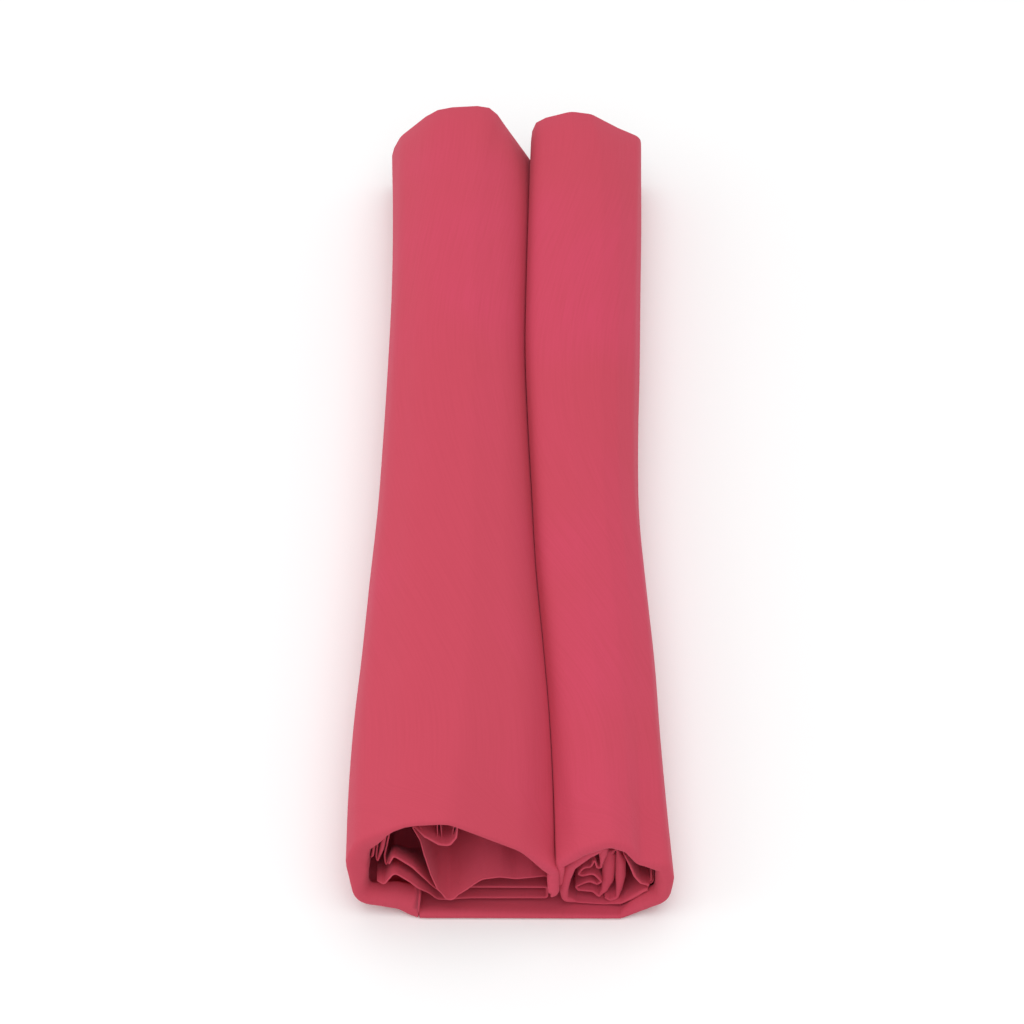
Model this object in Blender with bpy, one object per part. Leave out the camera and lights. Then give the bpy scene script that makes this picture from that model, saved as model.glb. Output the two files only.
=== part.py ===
"""Untied turban cloth, folded to a long strip and rolled from both ends towards the middle.

One continuous sheet. Seen along +Y from the near end, the sheet lies flat in the middle, climbs
an outer wall on each side, passes over a roof and dives into the groove where the two rolls meet.
There each end turns back at the lobe and runs on inside its roll in loose folds.
Metres, +Z up, origin under the middle of the cloth.
"""

import math
from collections import namedtuple

import bpy
import numpy as np

# Driving dimensions of the rolled cloth
LENGTH = 0.502  # folded width of the cloth, from the near end to the far end
LEFT_WIDTH = 0.0950  # left roll at the near end, from its outer wall to the groove
RIGHT_WIDTH = 0.0545  # right roll at the near end, from the groove to its outer wall
LEFT_HEIGHT = 0.0600  # left roof over the floor, at the near end
RIGHT_HEIGHT = 0.0488  # right roof over the floor, at the near end
LOBE_HEIGHT = 0.0165  # lowest point of the groove's two lobes over the floor
WALL = 0.0017  # the cloth's layers, pressed together in one fold of the roll
CLEARANCE = 0.0006  # air between two turns that lie on each other
NEAR_LEAN = 0.20  # how far the near end leans back, for each metre of height
MOUTH_DEPTH = 0.020  # how far the innermost folds sit back from the near end
PITCH = WALL + CLEARANCE

# Layers that a roll keeps room for, beside and beneath its loosest fold
LAYERS_BESIDE = 6
LAYERS_BENEATH = 4
DEGREES_PER_STEP = 30  # how finely a bend is faceted
FEWEST_STEPS = 2
MOST_STEPS = 5
BEND_ROOM = 0.48  # most of a straight stretch that one bend may take

Station = namedtuple("Station", "along left right left_up right_up groove")
# A row for each section from the near end to the far end. along is a share of LENGTH, left and
# right of the roll widths, left_up and right_up of the roof heights, and groove is how far the
# groove sways to the right, as a share of both widths together.
STATIONS = (
    Station(0.00, 1.000, 0.990, 1.000, 1.000, 0.134),
    Station(0.07, 1.003, 0.978, 1.008, 1.012, 0.127),
    Station(0.15, 0.995, 0.960, 1.012, 1.026, 0.123),
    Station(0.24, 0.954, 0.972, 1.006, 1.045, 0.111),
    Station(0.33, 0.905, 0.980, 0.995, 1.060, 0.093),
    Station(0.43, 0.850, 0.990, 0.985, 1.075, 0.075),
    Station(0.53, 0.806, 1.060, 0.982, 1.090, 0.056),
    Station(0.63, 0.780, 1.130, 0.988, 1.110, 0.047),
    Station(0.75, 0.785, 1.161, 1.000, 1.130, 0.052),
    Station(0.87, 0.808, 1.190, 1.010, 1.150, 0.059),
    Station(1.00, 0.852, 1.192, 1.015, 1.165, 0.071),
)

Skin = namedtuple("Skin", "near_across near_up far_across far_up bend")
# A row for each bend of the outer turn. across is a share of the roll's width, from 0 at the
# outer wall to 1 at the groove, up is a share of its height, and so is the bend's radius.
LEFT_SKIN = (
    Skin(0.335, 0.000, 0.310, 0.000, 0.12),
    Skin(0.235, 0.120, 0.200, 0.070, 0.20),
    Skin(0.080, 0.215, 0.060, 0.170, 0.26),
    Skin(0.000, 0.530, 0.000, 0.500, 0.24),
    Skin(0.085, 0.720, 0.070, 0.670, 0.30),
    Skin(0.270, 0.985, 0.310, 0.990, 0.42),
    Skin(0.530, 1.005, 0.700, 1.015, 0.36),
    Skin(0.760, 0.640, 0.800, 0.780, 0.60),
)
RIGHT_SKIN = (
    Skin(0.400, 0.000, 0.380, 0.000, 0.22),
    Skin(0.210, 0.160, 0.170, 0.130, 0.26),
    Skin(0.015, 0.390, 0.000, 0.380, 0.20),
    Skin(0.030, 0.600, 0.010, 0.700, 0.10),
    Skin(0.170, 0.715, 0.200, 0.790, 0.10),
    Skin(0.280, 0.735, 0.300, 0.860, 0.08),
    Skin(0.370, 0.930, 0.420, 0.985, 0.14),
    Skin(0.510, 1.020, 0.650, 1.010, 0.22),
    Skin(0.760, 0.860, 0.930, 0.900, 0.24),
)
LEFT_FOOT_UP = 0.370  # where the left roof's slope meets the groove, as a share of its height
RIGHT_FOOT_UP = 0.600

Fold = namedtuple("Fold", "across beside up beneath bend recess")
# A row for each bend of the loose folds inside a roll. beside and beneath count the layers that
# lie between the fold and the roll's outer wall and floor, and across and up are shares of the
# room that is left. bend is a radius in layers, and recess a share of MOUTH_DEPTH.
LEFT_TONGUE = (
    Fold(1.000, 4.5, 0.265, 3, 0.8, 0.25),  # root of the tongue, beside the lobe
    Fold(0.604, 4.5, 0.372, 3, 3.0, 0.10),  # hump
    Fold(0.461, 4.5, 0.152, 3, 0.6, 0.00),  # tip
    Fold(0.411, 4.5, 0.165, 3, 0.9, 0.00),
    Fold(0.328, 4.5, 0.412, 3, 6.0, 0.10),  # waist
    Fold(0.287, 4.5, 0.730, 3, 2.0, 0.20),
    Fold(0.232, 4.5, 0.905, 2, 0.5, 0.10),  # turn under the roof
    Fold(0.266, 4.5, 0.930, 2, 0.6, 0.10),
    Fold(0.335, 4.5, 0.830, 2, 2.0, 0.08),  # loop that sags from the roof
    Fold(0.430, 4.5, 0.791, 2, 2.0, 0.08),
    Fold(0.489, 4.5, 0.900, 2, 1.5, 0.08),
    Fold(0.490, 4.5, 0.950, 3, 0.8, 0.05),
)
LEFT_CRUMPLE = (
    Fold(0.051, 2.0, 0.319, 1, 0.6, 0.40),  # foot of the first ripple
    Fold(0.063, 2.0, 0.650, 1, 0.7, 0.55),  # its crest
    Fold(0.086, 3.0, 0.715, 1, 0.9, 0.60),
    Fold(0.072, 3.0, 0.294, 1, 0.6, 0.45),  # foot of the second ripple
    Fold(0.074, 4.0, 0.286, 1, 0.6, 0.45),
    Fold(0.103, 4.0, 0.598, 1, 1.0, 0.35),  # peak of the upper pleat
    Fold(0.120, 5.0, 0.669, 1, 1.0, 0.30),
    Fold(0.230, 5.0, 0.516, 1, 4.0, 0.25),
    Fold(0.335, 5.0, 0.085, 2, 2.0, 0.35),  # its foot on the layers below
    Fold(1.000, 3.7, 0.085, 2, 0.8, 0.50),  # turn beside the groove
    Fold(1.000, 3.7, 0.040, 1, 0.8, 0.30),
    Fold(0.335, 5.0, 0.040, 1, 1.5, 0.28),  # foot of the lower pleat
    Fold(0.143, 5.0, 0.431, 1, 0.7, 0.20),  # its peak
    Fold(0.108, 5.0, 0.394, 1, 0.7, 0.20),
    Fold(0.112, 4.0, 0.240, 1, 0.7, 0.25),  # free end
)
RIGHT_INNER = (
    Fold(0.926, 4.0, 0.000, 1, 1.2, 0.15),  # foot beside the groove
    Fold(1.000, 3.5, 0.156, 1, 1.0, 0.15),
    Fold(0.939, 3.5, 0.507, 2, 2.0, 0.15),  # inner slope
    Fold(0.805, 3.5, 0.693, 2, 2.0, 0.20),
    Fold(0.560, 3.5, 0.826, 2, 0.8, 0.25),
    Fold(0.541, 3.0, 0.081, 2, 1.0, 0.10),  # fold that hangs to the floor
    Fold(0.449, 2.0, 0.081, 2, 1.0, 0.05),
    Fold(0.444, 2.0, 0.760, 2, 0.6, 0.10),
    Fold(0.432, 1.0, 0.760, 2, 0.6, 0.15),  # small roll in the outer corner
    Fold(0.377, 1.0, 0.547, 2, 3.0, 0.12),
    Fold(0.303, 1.0, 0.334, 2, 1.5, 0.08),
    Fold(0.141, 1.0, 0.374, 2, 1.0, 0.08),
    Fold(0.089, 1.0, 0.533, 2, 1.2, 0.10),
    Fold(0.191, 1.0, 0.608, 2, 1.0, 0.15),
    Fold(0.253, 1.0, 0.467, 2, 0.7, 0.20),
)
INNER_TURN_RECESS = 0.10  # the turn just inside the skin, as a share of MOUTH_DEPTH
LOBE_RECESS = 0.05
FOOT_DROP = 0.60  # how far down the outer wall the left inner turn reaches, as a share
FOOT_BEND = 0.60
FOOT_RECESS = 0.30

CLOTH_COLOUR = (0.610, 0.078, 0.122, 1.0)
CLOTH_ROUGHNESS = 0.9
CLOTH_METALLIC = 0.0

Bend = namedtuple("Bend", "x z radius recess")


def clear_scene():
    for leftover in list(bpy.data.objects):
        bpy.data.objects.remove(leftover, do_unlink=True)


def between(low, high, share):
    return low + (high - low) * share


def inner_line(corners):
    """Corners of the line that runs one layer further in than this one."""
    runs = np.diff(corners, axis=0)
    runs /= np.linalg.norm(runs, axis=1)[:, None]
    inward = np.column_stack([runs[:, 1], -runs[:, 0]])
    mitres = inward[:-1] + inward[1:]
    mitres /= (mitres * inward[1:]).sum(axis=1)[:, None]
    return corners[1:-1] + mitres * PITCH


class Roll:
    """One roll's section in its own frame: x from its outer wall towards the groove, z up."""

    def __init__(self, width, height, along, skin, foot_up):
        self.width = width
        self.rise = height - WALL
        self.along = along
        self.skin_rows = skin
        self.foot_up = foot_up
        self.floor = WALL / 2
        self.lobe = LOBE_HEIGHT + self.floor

    def skin(self):
        """Bends of the outer turn, from the floor over the roof and down to the lobe."""
        bends = []
        for row in self.skin_rows:
            across = between(row.near_across, row.far_across, self.along)
            up = between(row.near_up, row.far_up, self.along)
            spot = (across * self.width, self.floor + up * self.rise)
            bends.append(Bend(*spot, row.bend * self.rise, 0.0))
        beside_groove = self.width - PITCH / 2
        foot = self.floor + self.foot_up * self.rise
        bends.append(Bend(beside_groove, foot, 2 * PITCH, 0.0))
        bends.append(Bend(beside_groove, self.lobe, PITCH / 2, 0.0))
        bends.append(Bend(beside_groove - PITCH, self.lobe, PITCH / 2, LOBE_RECESS))
        return bends

    def inner_turn(self, first, last):
        """Bends of the turn just inside the skin, from the skin's bend first back to last."""
        skin = self.skin()
        corners = [(bend.x, bend.z) for bend in skin]
        floor = (corners[0][0] + PITCH, self.floor)
        line = inner_line(np.array([floor] + corners))
        turn = []
        for place in range(first, last - 1, -1):
            radius = max(skin[place].radius - PITCH, PITCH)
            turn.append(Bend(*line[place], radius, INNER_TURN_RECESS))
        return turn

    def folds(self, rows):
        room_across = self.width - LAYERS_BESIDE * PITCH
        room_up = self.rise - LAYERS_BENEATH * PITCH
        bends = []
        for row in rows:
            x = row.beside * PITCH + row.across * room_across
            z = self.floor + row.beneath * PITCH + row.up * room_up
            bends.append(Bend(x, z, row.bend * PITCH, row.recess))
        return bends


def left_bends(roll):
    """From the floor over the left roll to the cloth's free end inside it."""
    turn = roll.inner_turn(first=5, last=2)
    foot_x = between(turn[-2].x, turn[-1].x, FOOT_DROP)
    foot_z = between(turn[-2].z, turn[-1].z, FOOT_DROP)
    foot = Bend(foot_x, foot_z, FOOT_BEND * PITCH, FOOT_RECESS)
    return roll.skin() + roll.folds(LEFT_TONGUE) + turn[:-1] + [foot] + roll.folds(LEFT_CRUMPLE)


def right_bends(roll):
    """The same for the right roll, in that roll's own frame."""
    return roll.skin() + roll.inner_turn(first=9, last=0) + roll.folds(RIGHT_INNER)


def section(station):
    """Bends along the whole sheet at this station, from the left free end to the right one."""
    along = station.along
    left_width = station.left * LEFT_WIDTH
    left_height = station.left_up * LEFT_HEIGHT
    left = Roll(left_width, left_height, along, LEFT_SKIN, LEFT_FOOT_UP)
    right_width = station.right * RIGHT_WIDTH
    right_height = station.right_up * RIGHT_HEIGHT
    right = Roll(right_width, right_height, along, RIGHT_SKIN, RIGHT_FOOT_UP)
    groove = station.groove * (LEFT_WIDTH + RIGHT_WIDTH)
    bends = [bend._replace(x=groove - left_width + bend.x) for bend in left_bends(left)]
    bends.reverse()
    bends += [bend._replace(x=groove + right_width - bend.x) for bend in right_bends(right)]
    return np.array(bends)


def corner_arcs(bends):
    """For each inner bend: its corner, directions in and out, turn angle and radius that fits."""
    spots = bends[:, :2]
    runs = np.diff(spots, axis=0)
    lengths = np.linalg.norm(runs, axis=1)
    ways = runs / lengths[:, None]
    arcs = []
    for place in range(1, len(spots) - 1):
        way_in = ways[place - 1]
        way_out = ways[place]
        turn = math.atan2(
            way_in[0] * way_out[1] - way_in[1] * way_out[0], float(way_in @ way_out)
        )
        room = BEND_ROOM * min(lengths[place - 1], lengths[place])
        tangent = min(bends[place, 2] * abs(math.tan(turn / 2)), room)
        arcs.append((spots[place], way_in, way_out, turn, tangent))
    return arcs


def steps_of(bends):
    """How many facets each bend gets, the same at every station."""
    counts = []
    for _, _, _, turn, _ in corner_arcs(bends):
        count = round(abs(math.degrees(turn)) / DEGREES_PER_STEP)
        counts.append(min(max(count, FEWEST_STEPS), MOST_STEPS))
    return counts


def rounded(bends, steps):
    """Points of the sheet's middle line, with its normals and recess, bends turned to arcs."""
    points = [bends[0, :2]]
    recess = [bends[0, 3]]
    for arc, count, depth in zip(corner_arcs(bends), steps, bends[1:-1, 3]):
        corner, way_in, way_out, _, tangent = arc
        start = corner - way_in * tangent
        end = corner + way_out * tangent
        for step in range(count + 1):
            share = step / count
            first = between(start, corner, share)
            second = between(corner, end, share)
            points.append(between(first, second, share))
            recess.append(depth)
    points.append(bends[-1, :2])
    recess.append(bends[-1, 3])
    points = np.array(points)
    ways = np.diff(points, axis=0)
    ways /= np.linalg.norm(ways, axis=1)[:, None]
    before = np.vstack([ways[:1], ways])
    after = np.vstack([ways, ways[-1:]])
    middle = before + after
    middle /= np.linalg.norm(middle, axis=1)[:, None]
    return points, np.column_stack([-middle[:, 1], middle[:, 0]]), np.array(recess)


def sheet_mesh(name):
    """The closed skin of the sheet: both faces, the two rolled ends' rims and the free ends."""
    steps = steps_of(section(STATIONS[0]))
    rows = []
    for station in STATIONS:
        middle, normals, recess = rounded(section(station), steps)
        near = -LENGTH / 2 + NEAR_LEAN * middle[:, 1] + MOUTH_DEPTH * recess
        depth = between(near, LENGTH / 2, station.along)
        for side in (-1, 1):
            face = middle + side * normals * WALL / 2
            rows.append(np.column_stack([face[:, 0], depth, face[:, 1]]))
    spots = np.concatenate(rows)
    spots[:, 0] -= (spots[:, 0].min() + spots[:, 0].max()) / 2
    spots[:, 1] -= (spots[:, 1].min() + spots[:, 1].max()) / 2
    spots[:, 2] -= spots[:, 2].min()
    count = len(rows[0])
    faces = []
    for row in range(0, len(rows) - 2, 2):
        under = row * count
        over = under + count
        for step in range(count - 1):
            low = under + step
            high = over + step
            faces.append((low, low + 2 * count, low + 1 + 2 * count, low + 1))
            faces.append((high, high + 1, high + 1 + 2 * count, high + 2 * count))
        for edge, flip in ((0, -1), (count - 1, 1)):
            rim = (under + edge, under + edge + 2 * count, over + edge + 2 * count, over + edge)
            faces.append(rim[::flip])
    last = (len(rows) - 2) * count
    for step in range(count - 1):
        faces.append((step, step + 1, count + step + 1, count + step))
        rim = (last + step, last + count + step, last + count + step + 1, last + step + 1)
        faces.append(rim)
    mesh = bpy.data.meshes.new(name)
    mesh.from_pydata(spots.tolist(), [], faces)
    mesh.validate()
    return mesh


def cloth_material():
    material = bpy.data.materials.new("cotton_cloth")
    material.use_nodes = True
    shader = material.node_tree.nodes["Principled BSDF"]
    shader.inputs["Base Color"].default_value = CLOTH_COLOUR
    shader.inputs["Roughness"].default_value = CLOTH_ROUGHNESS
    shader.inputs["Metallic"].default_value = CLOTH_METALLIC
    return material


def turban_cloth():
    name = "turban_cloth"
    cloth = bpy.data.objects.new(name, sheet_mesh(name))
    bpy.context.scene.collection.objects.link(cloth)
    cloth.data.materials.append(cloth_material())
    cloth.data.shade_smooth()
    return cloth


clear_scene()
turban_cloth()
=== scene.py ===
"""Looks of the rolled turban cloth: the fine sheet that stands for the CAD solid, and its cotton.

Metres, in the CAD's frame. The sheet is rolled as the CAD solid is, with smooth bends, fuller
slopes beside the groove, soft and padded rims, and the small pleats that show in the two mouths at
the near end.
"""

import math
from collections import namedtuple

import bmesh
import bpy
import numpy as np
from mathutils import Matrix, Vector


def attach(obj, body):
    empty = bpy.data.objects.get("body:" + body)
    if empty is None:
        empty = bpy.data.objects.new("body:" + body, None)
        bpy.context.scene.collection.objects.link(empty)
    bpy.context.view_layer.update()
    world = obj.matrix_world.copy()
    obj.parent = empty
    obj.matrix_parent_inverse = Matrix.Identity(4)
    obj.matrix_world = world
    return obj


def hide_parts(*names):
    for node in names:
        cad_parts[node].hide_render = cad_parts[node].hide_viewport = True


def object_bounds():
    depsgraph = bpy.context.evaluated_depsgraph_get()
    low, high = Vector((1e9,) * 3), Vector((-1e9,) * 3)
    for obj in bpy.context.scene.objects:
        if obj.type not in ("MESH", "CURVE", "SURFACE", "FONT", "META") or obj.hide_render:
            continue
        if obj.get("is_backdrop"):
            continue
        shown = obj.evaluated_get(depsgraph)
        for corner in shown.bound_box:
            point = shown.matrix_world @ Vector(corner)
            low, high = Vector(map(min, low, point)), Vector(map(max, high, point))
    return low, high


MM = 0.001

# Sizes of the rolled cloth
LENGTH = 0.502
LEFT_WIDTH = 0.0950
RIGHT_WIDTH = 0.0545
LEFT_HEIGHT = 0.0600
RIGHT_HEIGHT = 0.0488
LOBE_HEIGHT = 0.0165
WALL = 0.0017
CLEARANCE = 0.0006
PITCH = WALL + CLEARANCE
NEAR_LEAN = 0.20  # the near end leans back by this share of the height
BOX_SHIFT = Vector((-0.000354, -0.000085, 0.0))  # from the section's frame to the CAD's
GROOVE_PRESS = 0.00027  # each roll bulges this far into the gap between them

# Rims
CRISP_RIM = 0.0005
PAD_DEPTH = 0.0080  # a padded rim thins to the plain wall over this depth
PAD_ROUNDING = 0.90  # share of the pad that its inner edge is rounded over
FOLD_WALL = 0.0005  # the loose inner folds, thinner than the outer turns
DROOP_DEPTH = 0.0300  # the loose folds sink over this depth behind their rims
INNER_TURN_RECESS = 17.0  # in millimetres, as all recesses
NEAR_FADE = 7  # the end shapes fade with these powers of the share of the length
FAR_FADE = 16

# Fineness of the mesh
POINT_SPACING = 0.0040
BEND_DEGREES = 14.0  # of turn in each facet of a bend
BEND_STEPS = (2, 10)  # the least and the most facets of a bend
BEND_ROOM = 0.48  # the most of a straight stretch that a bend's tangent takes
TIGHTEST = 0.00005  # the least length of a bend's tangent
ROWS = 50
NEAR_RIM_ROWS = 6
FAR_RIM_ROWS = 3
ROW_CROWDING = 1.7  # above 1, rows crowd towards the near end
WELD = 1e-6
THREAD_MAP = "threads"

# Along the length: the share of it, then each roll's width and height against its size above, and
# the groove's place as a share of both rolls' widths
Station = namedtuple("Station", "along left right left_up right_up groove")
STATIONS = (
    Station(0.00, 1.000, 0.990, 1.000, 1.000, 0.1340),
    Station(0.07, 1.003, 0.969, 1.008, 1.012, 0.1300),
    Station(0.15, 0.983, 0.968, 1.012, 1.026, 0.1200),
    Station(0.24, 0.930, 1.000, 1.006, 1.045, 0.1010),
    Station(0.33, 0.878, 1.014, 0.995, 1.060, 0.0805),
    Station(0.43, 0.833, 1.009, 0.985, 1.075, 0.0680),
    Station(0.53, 0.802, 1.060, 0.982, 1.090, 0.0560),
    Station(0.63, 0.782, 1.127, 0.988, 1.110, 0.0480),
    Station(0.75, 0.788, 1.156, 1.000, 1.130, 0.0540),
    Station(0.87, 0.816, 1.175, 1.010, 1.150, 0.0640),
    Station(1.00, 0.857, 1.184, 1.015, 1.165, 0.0740),
)

# The outer turn's corners, as shares of the roll's width and height at the near end, in the
# middle and at the far end. Then come the corner's bend radius as a share of the height, and in
# millimetres the near rim's recess, the padding on its inner side, how far it leans back across
# its thickness, and the depth over which its outer edge is rounded. At nose 0 the rim's foremost
# line lies on the inner face and at nose 1 on the outer one.
Skin = namedtuple(
    "Skin",
    "near_across near_up mid_across mid_up far_across far_up bend recess pad lean soft nose",
)
LEFT_SKIN = (
    Skin(0.400, 0.000, 0.330, 0.000, 0.330, 0.000, 0.02, -1.3, 1.8, 0.6, 1.4, 0.4),
    Skin(0.339, 0.000, 0.316, 0.000, 0.316, 0.000, 0.02, -1.3, 2.0, 0.8, 1.4, 0.4),
    Skin(0.333, 0.000, 0.306, 0.000, 0.306, 0.000, 0.02, 0.2, 4.0, 1.6, 1.4, 0.4),
    Skin(0.328, 0.000, 0.298, 0.000, 0.298, 0.000, 0.02, -1.3, 8.8, 3.0, 1.6, 0.6),
    Skin(0.303, 0.010, 0.290, 0.003, 0.290, 0.003, 0.04, -1.0, 8.6, 3.0, 1.8, 0.6),
    Skin(0.225, 0.068, 0.210, 0.060, 0.200, 0.060, 0.15, 0.0, 7.4, 3.0, 2.2, 0.6),
    Skin(0.034, 0.120, 0.050, 0.160, 0.050, 0.160, 0.16, 0.0, 6.0, 3.0, 3.0, 0.5),
    Skin(-0.010, 0.530, 0.004, 0.510, -0.012, 0.380, 0.24, 0.0, 9.2, 4.0, 5.0, 0.2),
    Skin(0.050, 0.750, 0.064, 0.790, 0.068, 0.620, 0.20, 0.5, 7.4, 3.0, 5.0, 0.2),
    Skin(0.275, 0.995, 0.290, 1.000, 0.330, 0.980, 0.40, 1.2, 0.4, 0.0, 2.0, 0.1),
    Skin(0.490, 1.015, 0.620, 1.020, 0.710, 1.015, 0.22, 1.2, 0.3, 0.0, 1.6, 0.1),
    Skin(0.830, 0.720, 0.900, 0.930, 0.800, 0.780, 0.30, 1.2, 0.3, 0.0, 1.6, 0.1),
)
RIGHT_SKIN = (
    Skin(0.440, 0.000, 0.380, 0.000, 0.380, 0.000, 0.02, -1.4, 0.8, 0.4, 1.4, 0.4),
    Skin(0.420, 0.003, 0.360, 0.003, 0.360, 0.003, 0.08, -1.2, 1.5, 0.5, 1.2, 0.4),
    Skin(0.235, 0.076, 0.200, 0.080, 0.170, 0.110, 0.20, 0.0, 4.8, 1.8, 1.6, 0.5),
    Skin(0.040, 0.165, 0.050, 0.190, 0.030, 0.240, 0.20, 0.0, 6.0, 1.2, 3.0, 0.5),
    Skin(0.000, 0.440, 0.000, 0.460, 0.000, 0.440, 0.20, 0.0, 7.0, 0.8, 4.5, 0.6),
    Skin(0.050, 0.665, 0.050, 0.760, 0.010, 0.650, 0.12, 0.5, 5.5, 0.4, 4.0, 0.4),
    Skin(0.290, 0.715, 0.200, 0.920, 0.215, 0.780, 0.12, 1.0, 1.6, 0.0, 2.0, 0.2),
    Skin(0.370, 0.890, 0.350, 0.985, 0.460, 0.970, 0.14, 1.0, 1.8, 0.0, 2.5, 0.0),
    Skin(0.530, 0.995, 0.600, 1.010, 0.640, 1.005, 0.20, 1.0, 2.4, 0.0, 3.0, 0.0),
    Skin(0.800, 0.885, 0.930, 0.985, 0.970, 0.880, 0.20, 0.5, 2.6, 0.0, 3.0, 0.0),
)

# Two corners beside the groove, with the rim's values as above and the radius in millimetres too.
# Bulge is the padding on the outer side.
Crease = namedtuple("Crease", "bend recess pad bulge soft nose")

# Where a roll meets the groove: the height of its slope's foot, as shares at the same three
# places, the foot, the lobe under it, and the recess of the layer behind the lobe
Groove = namedtuple("Groove", "foot_up foot lobe back")
LEFT_GROOVE = Groove(
    foot_up=(0.470, 0.715, 0.310),
    foot=Crease(1.6, 0.0, 2.2, 1.6, 2.5, 0.5),
    lobe=Crease(1.1, -2.4, 1.6, 1.8, 3.0, 0.5),
    back=8.0,
)
RIGHT_GROOVE = Groove(
    foot_up=(0.680, 0.840, 0.600),
    foot=Crease(1.6, 0.8, 2.6, 0.0, 3.0, 0.3),
    lobe=Crease(1.1, 2.5, 1.4, 0.0, 2.0, 0.5),
    back=9.0,
)

Side = namedtuple("Side", "width height skin groove")
LEFT = Side(LEFT_WIDTH, LEFT_HEIGHT, LEFT_SKIN, LEFT_GROOVE)
RIGHT = Side(RIGHT_WIDTH, RIGHT_HEIGHT, RIGHT_SKIN, RIGHT_GROOVE)

# Bends of the skin, first and last, that the turn just inside it follows
LEFT_TURN = (9, 6)
RIGHT_TURN = (10, 8)

# Loose folds at the near end, in millimetres: across from the roll's outer side, up from the
# floor, the bend's radius, the rim's recess and its padding on both sides together. Behind the
# rim the fold sinks by droop, a share of its height, or rises where that is below 0.
Fold = namedtuple("Fold", "across up bend recess pad droop", defaults=(0.0, 0.0))
LEFT_TONGUE = (
    Fold(91.3, 21.2, 1.6, 5.0),
    Fold(84.0, 21.6, 4.0, 4.0, 0.2, -0.3),
    Fold(76.5, 20.6, 5.0, 4.0, 0.2, -0.2),
    Fold(70.0, 22.4, 5.0, 3.5, 0.2, -0.4),
    Fold(62.0, 21.9, 6.0, 3.0, 0.2, -0.4),
    Fold(50.7, 14.3, 8.0, 1.0, 0.2, -0.6),
    Fold(46.0, 11.6, 3.0, -0.5, 0.3, -0.7),
    Fold(41.0, 16.5, 6.0, 1.0, 0.2, -0.3),
    Fold(37.9, 25.2, 6.0, 2.0, 0.1),
    Fold(35.0, 34.2, 6.0, 5.0, 0.1),
    Fold(33.2, 43.1, 6.0, 6.0),
    Fold(29.7, 52.0, 0.6, 6.0),
    Fold(35.9, 49.2, 4.0, 2.6, 0.6),
    Fold(42.0, 44.9, 4.0, 2.2, 0.9),
    Fold(46.3, 44.2, 3.0, 2.2, 0.9),
    Fold(49.6, 47.8, 3.0, 3.0, 0.5),
    Fold(50.6, 55.0, 0.6, 4.6),
    Fold(49.2, 55.2, 0.6, 5.5),
    Fold(48.0, 46.8, 3.0, 6.0),
    Fold(46.0, 43.2, 2.0, 6.0),
    Fold(43.2, 43.2, 1.0, 6.0),
    Fold(42.6, 55.4, 0.5, 6.0),
    Fold(41.2, 55.4, 0.5, 6.0),
    Fold(41.1, 44.6, 1.2, 6.0),
    Fold(38.5, 45.6, 2.0, 6.0),
    Fold(33.4, 51.2, 3.0, 6.0),
)
LEFT_CRUMPLE = (
    Fold(11.1, 31.0, 6.0, 8.0, 0.6, 0.2),
    Fold(12.6, 42.0, 1.6, 9.0, 1.0, 0.2),
    Fold(14.0, 41.6, 1.2, 10.0, 0.4, 0.2),
    Fold(12.4, 27.0, 5.0, 10.0, 0.4, 0.2),
    Fold(13.1, 24.6, 0.8, 10.0, 0.4, 0.2),
    Fold(15.4, 34.6, 6.0, 8.0, 1.4, 0.3),
    Fold(17.2, 43.4, 1.6, 9.0, 1.4, 0.3),
    Fold(18.9, 42.2, 1.4, 10.0, 0.4, 0.4),
    Fold(16.3, 28.0, 5.0, 10.0, 0.4, 0.5),
    Fold(17.0, 22.6, 1.6, 9.0, 0.4, 0.6),
    Fold(18.8, 29.3, 5.0, 5.0, 0.2, 0.7),
    Fold(20.8, 35.0, 1.6, 4.6, 0.6, 0.7),
    Fold(29.3, 27.4, 8.0, 4.6, 0.8, 0.7),
    Fold(37.5, 15.6, 8.0, 5.0, 0.3, 0.6),
    Fold(42.5, 8.0, 4.0, 6.0, 0.0, 0.3),
    Fold(56.1, 9.5, 8.0, 8.5, 0.8, 0.2),
    Fold(91.4, 9.3, 1.4, 8.5, 0.8, 0.0),
    Fold(91.4, 4.8, 1.4, 6.5, 0.6, 0.0),
    Fold(56.0, 4.8, 8.0, 6.5, 0.6, 0.2),
    Fold(40.0, 5.0, 4.0, 5.5, 0.3, 0.3),
    Fold(28.6, 22.0, 8.0, 0.9, 0.4, 0.5),
    Fold(21.0, 28.2, 2.4, 1.1, 0.4, 0.5),
    Fold(16.5, 20.6, 1.6, 1.3, 0.2, 0.5),
    Fold(12.8, 20.6, 2.0, 3.0, 0.0, 0.5),
)
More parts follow.
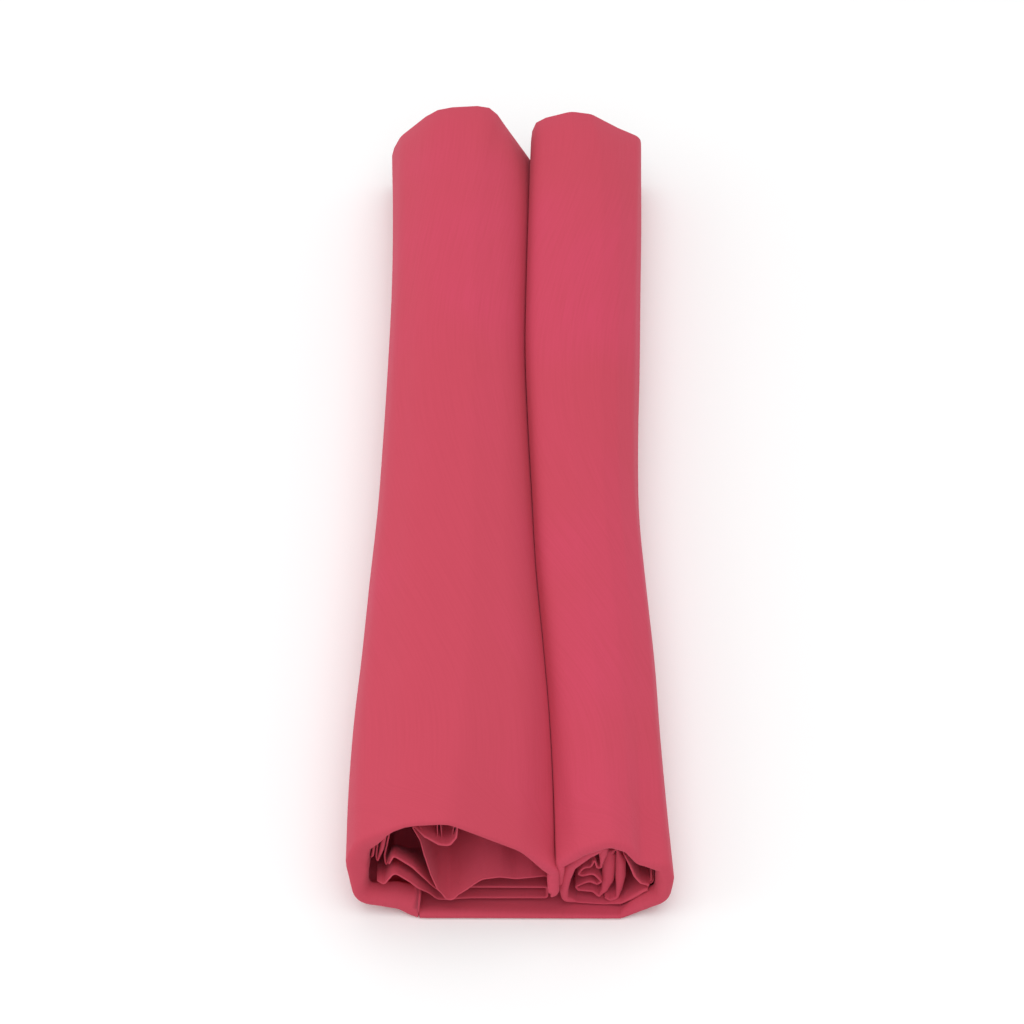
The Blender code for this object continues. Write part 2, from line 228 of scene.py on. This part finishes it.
RIGHT_FOLDS = (
    Fold(22.8, 36.4, 3.0, 4.0),
    Fold(20.0, 30.5, 6.0, 3.0, 0.5),
    Fold(17.6, 23.8, 6.0, 2.5, 0.7),
    Fold(14.9, 19.8, 4.0, 2.5, 0.8, 0.3),
    Fold(11.3, 17.0, 3.0, 3.4, 0.8, 0.3),
    Fold(9.6, 16.4, 1.6, 6.4, 0.6, 0.2),
    Fold(9.6, 25.0, 1.0, 12.0, 0.6),
    Fold(8.4, 24.0, 1.0, 14.0),
    Fold(8.6, 14.2, 2.5, 7.0),
    Fold(12.4, 13.4, 4.0, 3.5, 1.6, 0.7),
    Fold(18.3, 8.6, 4.0, 3.2, 1.8, 0.6),
    Fold(22.8, 4.8, 4.0, 3.6, 1.0, 0.3),
    Fold(30.0, 3.1, 6.0, 4.5, 0.2),
    Fold(43.5, 3.6, 3.0, 5.0, 0.4),
    Fold(49.4, 6.8, 2.5, 3.6, 3.0),
    Fold(50.0, 12.4, 3.0, 3.2, 3.6),
    Fold(49.2, 19.6, 2.5, 3.2, 4.6),
    Fold(47.4, 27.0, 3.0, 3.6, 5.8),
    Fold(38.8, 35.4, 6.0, 4.0, 6.4),
    Fold(32.0, 38.6, 0.8, 4.6, 4.0),
    Fold(33.0, 23.9, 1.4, 7.0, 0.6),
    Fold(34.8, 23.9, 1.0, 7.0, 0.5),
    Fold(36.2, 29.8, 0.8, 7.0, 0.4),
    Fold(37.4, 23.4, 1.5, 8.0, 0.6),
    Fold(41.0, 22.8, 3.0, 8.0, 0.8),
    Fold(43.6, 18.4, 1.0, 8.0, 0.5),
    Fold(41.4, 17.4, 1.2, 8.0, 0.5),
    Fold(36.4, 19.2, 4.0, 8.0, 0.9),
    Fold(32.4, 13.6, 1.0, 8.0, 0.5),
    Fold(34.4, 11.8, 1.0, 8.0, 0.5),
    Fold(38.0, 14.0, 3.0, 8.0, 0.9),
    Fold(44.6, 11.0, 1.0, 7.5, 0.5),
    Fold(43.2, 8.6, 1.0, 7.5, 0.5),
    Fold(37.0, 8.6, 3.0, 7.0, 0.6),
    Fold(33.6, 6.4, 1.0, 6.0, 0.8),
    Fold(31.2, 7.4, 1.4, 7.4, 2.4),
    Fold(29.4, 12.0, 3.0, 9.0, 5.6),
    Fold(29.1, 18.0, 4.0, 10.0, 6.0),
    Fold(29.0, 28.6, 1.2, 10.4, 6.0),
    Fold(25.8, 32.0, 1.2, 10.6, 1.0),
    Fold(23.8, 24.0, 4.0, 9.0, 4.2),
    Fold(23.6, 15.4, 6.0, 8.4, 4.4),
    Fold(24.2, 8.8, 2.0, 7.0, 2.4),
    Fold(25.2, 5.4, 1.6, 5.6, 1.0),
    Fold(28.2, 4.6, 2.0, 5.2, 0.8),
    Fold(30.8, 5.6, 1.2, 6.0, 0.6),
)

# A bend of the sheet: its corner and radius, then the columns that are blended from bend to bend.
# Outer and inner are the wall's thickness on either side of the middle line.
Bend = namedtuple(
    "Bend", "x z radius recess outer inner pad lean soft nose bulge", defaults=(0.0,) * 5
)
CORNER_COLUMNS = 3


def between(low, high, share):
    return low + (high - low) * share


def ease(share):
    share = np.clip(share, 0.0, 1.0)
    return share * share * (3 - 2 * share)


def three_way(near, middle, far, along):
    """Blend of the near, middle and far value, where the two ends fade quickly."""
    near_share = (1 - along) ** NEAR_FADE
    far_share = along**FAR_FADE
    return near * near_share + far * far_share + middle * (1 - near_share - far_share)


def inner_line(corners):
    """Corners of the line that runs one layer further in than this one."""
    runs = np.diff(corners, axis=0)
    runs /= np.linalg.norm(runs, axis=1)[:, None]
    inward = np.column_stack([runs[:, 1], -runs[:, 0]])
    mitres = inward[:-1] + inward[1:]
    mitres /= (mitres * inward[1:]).sum(axis=1)[:, None]
    return corners[1:-1] + mitres * PITCH


class Roll:
    """One roll's section in its own frame: x from its outer wall towards the groove, z up."""

    def __init__(self, side, along, near_wide, wide, high):
        self.side = side
        self.along = along
        self.near_width = side.width * near_wide
        self.width = self.near_width * (wide / near_wide)
        self.rise = side.height * high - WALL
        self.floor = WALL / 2

    def skin(self):
        """Bends of the outer turn, from the floor over the roof and down to the lobe."""
        half = WALL / 2
        bends = []
        for row in self.side.skin:
            across = three_way(row.near_across, row.mid_across, row.far_across, self.along)
            up = three_way(row.near_up, row.mid_up, row.far_up, self.along)
            spot = (across * self.width, self.floor + up * self.rise, row.bend * self.rise)
            rim = (row.pad * MM, row.lean * MM, row.soft * MM, row.nose)
            bends.append(Bend(*spot, row.recess * MM, half, half, *rim))
        groove = self.side.groove
        foot_up = self.floor + three_way(*groove.foot_up, self.along) * self.rise
        lobe_up = LOBE_HEIGHT + self.floor
        across = self.width - PITCH / 2
        pressed = half + GROOVE_PRESS
        for up, crease in ((foot_up, groove.foot), (lobe_up, groove.lobe)):
            spot = (across, up, crease.bend * MM, crease.recess * MM)
            rim = (crease.pad * MM, 0.0, crease.soft * MM, crease.nose, crease.bulge * MM)
            bends.append(Bend(*spot, pressed, half, *rim))
        bends.append(Bend(across - PITCH, lobe_up, PITCH / 2, groove.back * MM, half, half))
        return bends

    def inner_turn(self, first, last):
        """Bends of the turn just inside the skin, from the skin's bend first back to last."""
        skin = self.skin()
        corners = [(bend.x, bend.z) for bend in skin]
        start = (corners[0][0] + PITCH, self.floor)
        line = inner_line(np.array([start] + corners))
        turn = []
        for place in range(first, last - 1, -1):
            radius = max(skin[place].radius - PITCH, PITCH)
            rim = (INNER_TURN_RECESS * MM, FOLD_WALL / 2, FOLD_WALL / 2)
            turn.append(Bend(*line[place], radius, *rim))
        return turn

    def folds(self, rows):
        """Bends of loose folds, which narrow, rise and sink with the roll behind their rims."""
        wide = self.width / self.near_width
        high = self.rise / (self.side.height - WALL)
        sunk = ease(self.along * LENGTH / DROOP_DEPTH)
        bends = []
        for row in rows:
            x = row.across * MM * wide
            z = self.floor + (row.up * MM - self.floor) * high * (1 - row.droop * sunk)
            rim = (row.recess * MM, FOLD_WALL / 2, FOLD_WALL / 2)
            swell = (row.pad * MM / 2, 0.0, 0.0, 0.5, row.pad * MM / 2)
            bends.append(Bend(x, z, row.bend * MM, *rim, *swell))
        return bends


def left_bends(roll):
    """From the floor over the left roll to the cloth's free end inside it."""
    turn = roll.inner_turn(*LEFT_TURN)
    return roll.skin() + roll.folds(LEFT_TONGUE) + turn + roll.folds(LEFT_CRUMPLE)


def right_bends(roll):
    """The same for the right roll, in that roll's own frame."""
    return roll.skin() + roll.inner_turn(*RIGHT_TURN) + roll.folds(RIGHT_FOLDS)


def section(station):
    """Bends along the whole sheet at this station, from the left free end to the right one."""
    near = STATIONS[0]
    left = Roll(LEFT, station.along, near.left, station.left, station.left_up)
    right = Roll(RIGHT, station.along, near.right, station.right, station.right_up)
    groove = station.groove * (LEFT_WIDTH + RIGHT_WIDTH)
    bends = [bend._replace(x=groove - left.width + bend.x) for bend in left_bends(left)]
    bends.reverse()
    bends += [bend._replace(x=groove + right.width - bend.x) for bend in right_bends(right)]
    return np.array(bends)


def smooth_station(along):
    """The station at this share of the length, on a smooth curve through the table's rows."""
    table = np.array(STATIONS)
    places = table[:, 0]
    slopes = np.gradient(table, places, axis=0)
    row = int(np.clip(np.searchsorted(places, along) - 1, 0, len(places) - 2))
    span = places[row + 1] - places[row]
    t = (along - places[row]) / span
    start = (2 * t**3 - 3 * t**2 + 1) * table[row] + (t**3 - 2 * t**2 + t) * span * slopes[row]
    end = (3 * t**2 - 2 * t**3) * table[row + 1] + (t**3 - t**2) * span * slopes[row + 1]
    values = start + end
    values[0] = along
    return Station(*values)


def bend_shapes(bends):
    """For each bend between the two free ends: corner, directions in and out, turn, tangent."""
    spots = bends[:, :2]
    runs = np.diff(spots, axis=0)
    lengths = np.linalg.norm(runs, axis=1)
    ways = runs / lengths[:, None]
    shapes = []
    for place in range(1, len(spots) - 1):
        way_in = ways[place - 1]
        way_out = ways[place]
        across = way_in[0] * way_out[1] - way_in[1] * way_out[0]
        turn = math.atan2(across, float(way_in @ way_out))
        room = BEND_ROOM * min(lengths[place - 1], lengths[place])
        tangent = min(bends[place, 2] * abs(math.tan(turn / 2)) + TIGHTEST, room)
        shapes.append((spots[place], way_in, way_out, turn, tangent))
    return shapes


def counts_of(bends):
    """Facets of each bend, and pieces of each straight stretch, the same at every station."""
    shapes = bend_shapes(bends)
    steps = []
    for _, _, _, turn, _ in shapes:
        steps.append(int(np.clip(abs(math.degrees(turn)) / BEND_DEGREES, *BEND_STEPS)))
    starts = [bends[0, :2]] + [corner + way * t for corner, _, way, _, t in shapes]
    ends = [corner - way * t for corner, way, _, _, t in shapes] + [bends[-1, :2]]
    pieces = []
    for start, end in zip(starts, ends):
        pieces.append(max(1, round(float(np.linalg.norm(end - start)) / POINT_SPACING)))
    return steps, pieces


def middle_line(bends, counts):
    """Points of the sheet's middle line, their normals, and the other columns of the bends."""
    steps, pieces = counts
    shapes = bend_shapes(bends)
    extras = bends[:, CORNER_COLUMNS:]
    points = [bends[0, :2]]
    columns = [extras[0]]
    for place in range(len(shapes) + 1):
        last = place == len(shapes)
        if last:
            target = bends[-1, :2]
        else:
            corner, way_in, way_out, _, tangent = shapes[place]
            target = corner - way_in * tangent
        start = points[-1]
        for piece in range(1, pieces[place] + 1):
            share = piece / pieces[place]
            points.append(between(start, target, share))
            columns.append(between(extras[place], extras[place + 1], ease(share)))
        if last:
            break
        end = corner + way_out * tangent
        for step in range(1, steps[place] + 1):
            share = step / steps[place]
            first = between(target, corner, share)
            second = between(corner, end, share)
            points.append(between(first, second, share))
            columns.append(extras[place + 1])
    points = np.array(points)
    ways = np.diff(points, axis=0)
    ways /= np.linalg.norm(ways, axis=1)[:, None]
    middle = np.vstack([ways[:1], ways]) + np.vstack([ways, ways[-1:]])
    middle /= np.linalg.norm(middle, axis=1)[:, None]
    return points, np.column_stack([middle[:, 1], -middle[:, 0]]), np.array(columns)


def face_row(points, normals, columns, side, kind, value):
    """One row of one face: x, depth and z of its points. Side 1 is outer and -1 inner."""
    recess, outer, inner, pad, lean, soft, nose, bulge = columns.T
    near = -LENGTH / 2 + NEAR_LEAN * points[:, 1] + recess
    thickness = outer + bulge + inner + pad
    if side > 0:
        plain, swell = outer, bulge
        reach = np.maximum(soft, CRISP_RIM + PAD_ROUNDING * bulge)
    else:
        plain, swell = inner, pad
        reach = CRISP_RIM + PAD_ROUNDING * pad
    rim_end = near + reach
    if kind == "near":
        nose_line = nose * thickness - inner - pad
        offset = between(nose_line, side * (plain + swell), math.sin(value))
        place = near + reach * (1 - math.cos(value))
        fade = 1.0
    elif kind == "body":
        place = between(rim_end, LENGTH / 2, value)
        fade = 1 - ease((place - rim_end) / PAD_DEPTH)
        offset = side * (plain + swell * fade)
    else:
        place = LENGTH / 2 + CRISP_RIM * math.cos(value)
        offset = side * plain * math.sin(value)
        fade = 0.0
    leaning = (outer + bulge - offset) / thickness * lean
    spot = points + normals * offset[:, None]
    return np.column_stack([spot[:, 0], place + leaning * fade, spot[:, 1]])


def sheet_rows():
    """Rows of the sheet's outer and inner face, from the near rim to the far one."""
    counts = counts_of(section(smooth_station(0.0)))
    near_rim = np.linspace(0.0, math.pi / 2, NEAR_RIM_ROWS + 1)
    far_rim = np.linspace(math.pi / 2, 0.0, FAR_RIM_ROWS + 1)
    body = np.linspace(0.0, 1.0, ROWS + 1)[1:-1] ** ROW_CROWDING
    plan = [("near", 0.0, angle) for angle in near_rim]
    plan += [("body", share, share) for share in body]
    plan += [("far", 1.0, angle) for angle in far_rim]
    rows = []
    lengths = []
    for kind, along, value in plan:
        points, normals, columns = middle_line(section(smooth_station(along)), counts)
        rows.append([face_row(points, normals, columns, side, kind, value) for side in (1, -1)])
        gaps = np.linalg.norm(np.diff(points, axis=0), axis=1)
        lengths.append(np.concatenate([[0.0], np.cumsum(gaps)]))
    return np.array(rows), np.array(lengths)


def sheet_faces(row_count, count):
    """Quads over both faces of the sheet and along its two free ends."""
    faces = []
    ahead = 2 * count
    for row in range(row_count - 1):
        outer = row * ahead
        inner = outer + count
        for step in range(count - 1):
            low = inner + step
            high = outer + step
            faces.append((low, low + 1, low + ahead + 1, low + ahead))
            faces.append((high, high + ahead, high + ahead + 1, high + 1))
        for edge, turn in ((0, -1), (count - 1, 1)):
            rim = (outer + edge, outer + edge + ahead, inner + edge + ahead, inner + edge)
            faces.append(rim[::turn])
    return faces


def map_threads(mesh, spots, lengths):
    """A map in metres of cloth, along the sheet's section and along the rolls."""
    along_cloth = np.repeat(lengths[:, None, :], 2, axis=1).reshape(-1)
    corners = np.empty(len(mesh.loops), dtype=np.int32)
    mesh.loops.foreach_get("vertex_index", corners)
    layer = mesh.uv_layers.new(name=THREAD_MAP)
    threads = np.column_stack([along_cloth[corners], spots[corners, 1]])
    layer.data.foreach_set("uv", threads.astype(np.float32).reshape(-1))


def sheet_mesh(name, ground):
    """The closed skin of the sheet, with rims at both ends, and nowhere below the ground."""
    rows, lengths = sheet_rows()
    spots = rows.reshape(-1, 3) + np.array(BOX_SHIFT)
    spots[:, 2] = np.maximum(spots[:, 2], ground)
    mesh = bpy.data.meshes.new(name)
    mesh.from_pydata(spots.tolist(), [], sheet_faces(len(rows), rows.shape[2]))
    map_threads(mesh, spots, lengths)
    shell = bmesh.new()
    shell.from_mesh(mesh)
    bmesh.ops.remove_doubles(shell, verts=shell.verts, dist=WELD)
    shell.to_mesh(mesh)
    shell.free()
    return mesh


def scene_object(name, data):
    """A new object with this data, in the scene."""
    item = bpy.data.objects.new(name, data)
    bpy.context.scene.collection.objects.link(item)
    return item


def turban_cloth(material, ground):
    """The rolled cloth, as one sheet that lies on the ground."""
    name = "cloth_sheet"
    cloth = scene_object(name, sheet_mesh(name, ground))
    cloth.data.materials.append(material)
    cloth.data.shade_smooth()
    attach(cloth, "root")
    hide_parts("turban_cloth")


# Cotton
ROSE = (0.565, 0.066, 0.106, 1.0)
PINKER = (0.635, 0.064, 0.140, 1.0)
DEEPER = (0.528, 0.060, 0.095, 1.0)
PATCHES = {"Scale": 9.0, "Detail": 2.0}
PINK_SHARE = {"From Min": 0.48, "From Max": 0.78, "To Min": 0.0, "To Max": 0.55}
STREAK_STRETCH = (900.0, 25.0, 1.0)  # fine across the threads and long along them
STREAKS = {"Scale": 1.0, "Detail": 3.0}
DEEP_SHARE = {"From Min": 0.40, "From Max": 0.80, "To Min": 0.0, "To Max": 0.55}
THREAD_PITCH = 0.00050  # from thread to thread
THREAD_RELIEF = {"Strength": 0.25, "Distance": 0.00005}
COTTON = {
    "Roughness": 0.9,
    "IOR": 1.35,
    "Specular IOR Level": 0.25,
    "Sheen Weight": 0.14,
    "Sheen Roughness": 0.45,
    "Sheen Tint": (1.0, 0.45, 0.58, 1.0),
}
MIX_SHARE, MIX_FROM, MIX_TO, MIX_COLOUR = 0, 6, 7, 2  # the colour mix node's sockets


def node(tree, kind, inputs=None, **settings):
    """A new node with its sockets linked or set, by name or number."""
    made = tree.nodes.new(kind)
    for name, value in settings.items():
        setattr(made, name, value)
    for name, value in (inputs or {}).items():
        if isinstance(value, bpy.types.NodeSocket):
            tree.links.new(value, made.inputs[name])
        else:
            made.inputs[name].default_value = value
    return made


def mixed(tree, share, low, high):
    """The colour between low and high at this share."""
    sockets = {MIX_SHARE: share, MIX_FROM: low, MIX_TO: high}
    return node(tree, "ShaderNodeMix", sockets, data_type="RGBA").outputs[MIX_COLOUR]


def wave_of(tree, coordinate):
    """Height of parallel threads across this coordinate, from -1 to 1."""
    turn = math.tau / THREAD_PITCH
    angle = node(tree, "ShaderNodeMath", {0: coordinate, 1: turn}, operation="MULTIPLY")
    return node(tree, "ShaderNodeMath", {0: angle.outputs[0]}, operation="SINE").outputs[0]


def cotton_material():
    """Matt rose cotton: faint pink patches, streaks along the threads and a fine plain weave."""
    material = bpy.data.materials.new("cotton_voile")
    material.use_nodes = True
    tree = material.node_tree
    shader = tree.nodes["Principled BSDF"]
    threads = node(tree, "ShaderNodeUVMap", uv_map=THREAD_MAP).outputs["UV"]
    parts = node(tree, "ShaderNodeSeparateXYZ", {0: threads})
    place = node(tree, "ShaderNodeTexCoord").outputs["Object"]

    patches = node(tree, "ShaderNodeTexNoise", {"Vector": place, **PATCHES})
    pink = node(tree, "ShaderNodeMapRange", {"Value": patches.outputs[0], **PINK_SHARE})
    stretch = node(tree, "ShaderNodeMapping", {"Vector": threads, "Scale": STREAK_STRETCH})
    streaks = node(tree, "ShaderNodeTexNoise", {"Vector": stretch.outputs[0], **STREAKS})
    deep = node(tree, "ShaderNodeMapRange", {"Value": streaks.outputs[0], **DEEP_SHARE})
    patched = mixed(tree, pink.outputs[0], ROSE, PINKER)
    streaked = mixed(tree, deep.outputs[0], patched, DEEPER)
    tree.links.new(streaked, shader.inputs["Base Color"])

    warp = wave_of(tree, parts.outputs[0])
    weft = wave_of(tree, parts.outputs[1])
    weave = node(tree, "ShaderNodeMath", {0: warp, 1: weft}, operation="MULTIPLY")
    bump = node(tree, "ShaderNodeBump", {"Height": weave.outputs[0], **THREAD_RELIEF})
    tree.links.new(bump.outputs[0], shader.inputs["Normal"])
    for name, value in COTTON.items():
        shader.inputs[name].default_value = value
    return material


# Camera: the photo's lens and its angle to the cloth
FOCAL_PIXELS = 2400.0
PHOTO_PIXELS = 1024
SENSOR_MM = 36.0
CLIP_START = 0.01
CAMERA_ELEVATION = math.radians(50.0)
CAMERA_DISTANCE = 1.235
CAMERA_AIM = Vector((-0.00035, -0.0301, 0.030))

# Studio: soft round lights over a pale floor
Light = namedtuple("Light", "name place aim size power")
LIGHTS = (
    Light("top", (0.1, 0.1, 1.8), (0.0, 0.0, 0.0), 2.4, 14.6),
    Light("front", (0.1, -1.4, 1.5), (0.0, 0.0, 0.0), 1.4, 2.6),
    Light("side", (-1.5, -0.3, 0.7), (0.0, 0.0, 0.03), 1.2, 4.4),
)
FLOOR_REACH = 3.0
FLOOR_DROP = 0.0002  # the floor lies this far under the cloth, so that the two never coincide
FLOOR_PAINT = {"Base Color": (0.97, 0.97, 0.97, 1.0), "Roughness": 0.9}
SKY = {"Color": (1.0, 1.0, 1.0, 1.0), "Strength": 0.68}


def turn_to(item, way):
    """Point a camera's or light's view this way."""
    item.rotation_mode = "QUATERNION"
    item.rotation_quaternion = way.to_track_quat("-Z", "Y")


def camera():
    data = bpy.data.cameras.new("camera")
    data.sensor_width = SENSOR_MM
    data.lens = FOCAL_PIXELS / PHOTO_PIXELS * SENSOR_MM
    data.clip_start = CLIP_START
    item = scene_object("camera", data)
    back = Vector((0.0, -math.cos(CAMERA_ELEVATION), math.sin(CAMERA_ELEVATION)))
    item.location = CAMERA_AIM + back * CAMERA_DISTANCE
    turn_to(item, -back)
    bpy.context.scene.camera = item


def area_light(light):
    data = bpy.data.lights.new(light.name, "AREA")
    data.shape = "DISK"
    data.size = light.size
    data.energy = light.power
    item = scene_object(light.name, data)
    item.location = light.place
    turn_to(item, Vector(light.aim) - Vector(light.place))


def studio_floor():
    mesh = bpy.data.meshes.new("floor")
    signs = ((-1, -1), (1, -1), (1, 1), (-1, 1))
    corners = [(x * FLOOR_REACH, y * FLOOR_REACH, 0.0) for x, y in signs]
    mesh.from_pydata(corners, [], [(0, 1, 2, 3)])
    item = scene_object("floor", mesh)
    item.location.z = -FLOOR_DROP
    material = bpy.data.materials.new("floor_paint")
    material.use_nodes = True
    shader = material.node_tree.nodes["Principled BSDF"]
    for name, value in FLOOR_PAINT.items():
        shader.inputs[name].default_value = value
    mesh.materials.append(material)
    item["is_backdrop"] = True


def studio():
    studio_floor()
    world = bpy.data.worlds.new("studio")
    world.use_nodes = True
    for name, value in SKY.items():
        world.node_tree.nodes["Background"].inputs[name].default_value = value
    bpy.context.scene.world = world
    for light in LIGHTS:
        area_light(light)
    bpy.context.scene.view_settings.view_transform = "Standard"


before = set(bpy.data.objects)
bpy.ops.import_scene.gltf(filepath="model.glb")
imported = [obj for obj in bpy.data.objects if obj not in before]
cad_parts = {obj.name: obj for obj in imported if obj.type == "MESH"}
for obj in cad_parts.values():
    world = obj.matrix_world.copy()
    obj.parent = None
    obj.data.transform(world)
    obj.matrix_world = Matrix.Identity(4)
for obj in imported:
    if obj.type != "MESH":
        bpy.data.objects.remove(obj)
cad_low, cad_high = (np.array(corner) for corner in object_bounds())
camera()
turban_cloth(cotton_material(), ground=cad_low[2])
studio()
